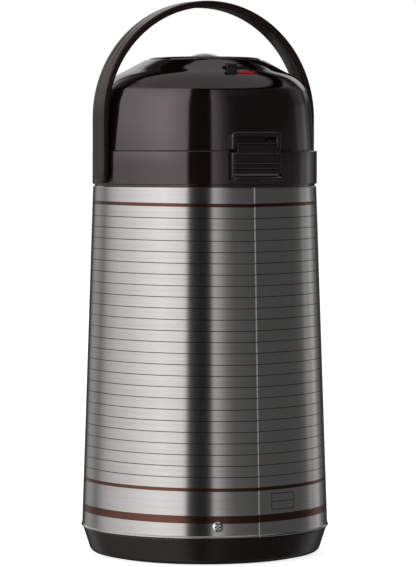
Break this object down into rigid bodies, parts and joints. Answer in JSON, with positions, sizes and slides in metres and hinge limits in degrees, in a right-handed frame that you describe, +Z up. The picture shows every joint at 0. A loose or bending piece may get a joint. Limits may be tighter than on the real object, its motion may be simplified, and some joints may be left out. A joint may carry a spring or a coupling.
{
  "type": "thermal coffee airpot",
  "caption": "Insulated pump jug with brushed steel jacket, plastic base and head, bail handle, press-button pump lid, rear lid latch and a fixed curved spout.",
  "frame": {"origin": "centre of the base on the table plane", "axes": "+Z up through the button, -Y towards the spout, +Y towards the lid latch and the jacket seam, X through the handle pivots"},
  "size_m": [0.1647, 0.2006, 0.3673],
  "materials": {
    "base_plastic": "satin",
    "foot_rubber": "matte",
    "cap_plastic": "matte",
    "cushion_silicone": "matte",
    "mirror_glass": "silvered",
    "spacer_foam": "matte",
    "gasket_silicone": "matte",
    "jacket_steel": "brushed",
    "head_plastic": "gloss",
    "handle_plastic": "satin",
    "stopper_plastic": "satin",
    "tube_plastic": "satin",
    "bellows_rubber": "matte",
    "spring_steel": "polished",
    "pin_steel": "polished",
    "screw_steel": "polished",
    "insert_metal": "satin",
    "marker_red": "gloss",
    "nozzle_plastic": "satin"
  },
  "bodies": {
    "jug": {"base_ring": "base_plastic", "foot_ring": "foot_rubber", "bottom_cap": "cap_plastic", "centre_pad": "foot_rubber", "liner_cushion": "cushion_silicone", "liner_outer": "mirror_glass", "flask_bottom": "mirror_glass", "flask_wall": "mirror_glass", "flask_shoulder": "mirror_glass", "liner_spacer": "spacer_foam", "neck_gasket": "gasket_silicone", "outer_jacket": "jacket_steel", "collar": "head_plastic", "stopper_body": "stopper_plastic", "stopper_seal": "gasket_silicone", "stopper_plate": "stopper_plastic", "dip_tube": "tube_plastic", "duct_elbow": "stopper_plastic", "anti_spill_ball": "pin_steel", "spout_arm": "head_plastic", "spout_nozzle": "nozzle_plastic", "handle_pin_1": "pin_steel", "handle_pin_2": "pin_steel", "hinge_pin": "pin_steel", "jacket_screw_1": "screw_steel", "jacket_screw_2": "screw_steel", "jacket_screw_3": "screw_steel"},
    "handle": {"handle": "handle_plastic"},
    "lid": {"lid_shell": "head_plastic", "lid_base_plate": "stopper_plastic", "port_seal": "gasket_silicone", "air_flap": "gasket_silicone", "bellows": "bellows_rubber", "return_spring": "spring_steel", "lock_marker": "marker_red", "latch_pin": "pin_steel", "plate_screw_1": "screw_steel", "plate_screw_2": "screw_steel", "plate_screw_3": "screw_steel"},
    "pump": {"pump_button": "head_plastic", "button_insert": "insert_metal", "bellows_cap": "stopper_plastic"},
    "lock": {"lock_slider": "head_plastic"},
    "latch": {"latch_lever": "head_plastic"}
  },
  "joints": [
    {"name": "handle_swing", "type": "hinge", "parent": "jug", "child": "handle", "pos_m": [0, 0, 0.2556], "axis": [1, 0, 0], "range_deg": [-95, 79]},
    {"name": "lid_hinge", "type": "hinge", "parent": "jug", "child": "lid", "pos_m": [0, -0.0783, 0.2688], "axis": [1, 0, 0], "range_deg": [0, 6.5]},
    {"name": "pump_press", "type": "slide", "parent": "lid", "child": "pump", "axis": [0, 0, 1], "range_m": [-0.022, 0], "stiffness_N_per_m": 400, "springref_m": 0.012, "deforming": ["bellows", "return_spring"]},
    {"name": "lock_turn", "type": "hinge", "parent": "lid", "child": "lock", "pos_m": [0, 0, 0.318], "axis": [0, 0, 1], "range_deg": [0, 15.6]},
    {"name": "latch_pull", "type": "hinge", "parent": "lid", "child": "latch", "pos_m": [0, 0.0764, 0.2713], "axis": [1, 0, 0], "range_deg": [0, 28], "stiffness_Nm_per_rad": 0.05, "springref_deg": -17.19}
  ]
}
